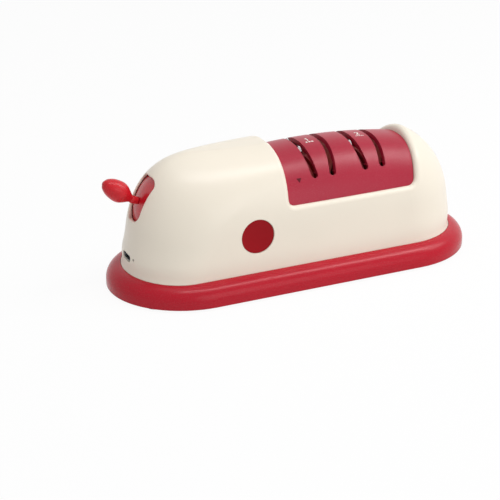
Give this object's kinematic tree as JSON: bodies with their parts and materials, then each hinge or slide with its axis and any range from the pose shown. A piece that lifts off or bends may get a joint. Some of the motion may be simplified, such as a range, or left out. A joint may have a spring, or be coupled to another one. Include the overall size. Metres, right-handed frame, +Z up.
{
  "type": "electric knife sharpener",
  "caption": "Cordless electric knife sharpener with a cream moulded housing, a red base, a red arched cover with leaning blade slots and an egg-shaped lever.",
  "frame": {"origin": "centre of the base on the table, at the underside of the rubber feet", "axes": "+X along the longest extent, from the lever end towards the plain end; +Y towards the back; +Z up, the shortest extent"},
  "size_m": [0.1896, 0.073, 0.0654],
  "materials": {
    "cream_plastic": "satin moulded",
    "red_plastic": "satin moulded",
    "lever_plastic": "polished",
    "dark_red_plastic": "satin moulded",
    "pale_plastic": "plain moulded",
    "clear_plastic": "clear",
    "dark_plastic": "glass-filled, dull",
    "black_plastic": "dull",
    "black_rubber": "dull",
    "steel": "bright",
    "spring_steel": "bright",
    "aluminium_alloy": "turned",
    "bronze": "sintered, oiled",
    "coarse_grit": "coarse bonded grit",
    "fine_grit": "fine bonded grit",
    "cell_sleeve": "shrink sleeve",
    "board_laminate": "solder mask",
    "magnet_metal": "nickel plated"
  },
  "bodies": {
    "case": {"base_tray": "red_plastic", "rubber_feet": "black_rubber", "housing": "cream_plastic", "eye_disc_front": "dark_red_plastic", "eye_disc_back": "dark_red_plastic", "lever_bracket": "dark_plastic", "rotary_switch": "black_plastic", "drive_chassis": "dark_plastic", "motor_can": "steel", "motor_end_cap": "black_plastic", "motor_dampers": "black_rubber", "motor_straps": "spring_steel", "left_bearing": "bronze", "right_bearing": "bronze", "left_bearing_cap": "dark_plastic", "right_bearing_cap": "dark_plastic", "battery_cell": "cell_sleeve", "battery_holder": "black_plastic", "battery_contacts": "spring_steel", "charging_board": "board_laminate", "usb_socket": "steel", "status_lamp": "pale_plastic", "light_pipe": "clear_plastic", "dust_tray": "dark_plastic", "tray_magnet": "magnet_metal", "housing_screws": "steel", "chassis_screws": "steel", "bracket_screws": "steel", "strap_screws": "steel", "bearing_cap_screws": "steel", "holder_screws": "steel", "board_screws": "steel"},
    "cover": {"slot_cover": "red_plastic", "coarse_blade_leaves": "spring_steel", "fine_blade_leaves": "spring_steel", "guide_tips": "pale_plastic"},
    "lever": {"lever_shield": "lever_plastic", "lever_knob": "lever_plastic", "lever_pin": "steel"},
    "rotor": {"motor_shaft": "steel", "shaft_coupling": "aluminium_alloy", "grinding_shaft": "steel", "coarse_wheel_left": "coarse_grit", "coarse_wheel_right": "coarse_grit", "fine_wheel_left": "fine_grit", "fine_wheel_right": "fine_grit", "wheel_spacers": "aluminium_alloy", "shaft_clip": "spring_steel"}
  },
  "joints": [
    {"name": "cover_lift", "type": "slide", "parent": "case", "child": "cover", "axis": [0, 0, 1], "range_m": [0, 0.03]},
    {"name": "lever_tilt", "type": "hinge", "parent": "case", "child": "lever", "pos_m": [-0.0558, 0, 0.0361], "axis": [0, 1, 0], "range_deg": [-15, 15]},
    {"name": "drive_spin", "type": "hinge", "parent": "case", "child": "rotor", "pos_m": [0, 0, 0.037], "axis": [1, 0, 0], "continuous": true}
  ]
}
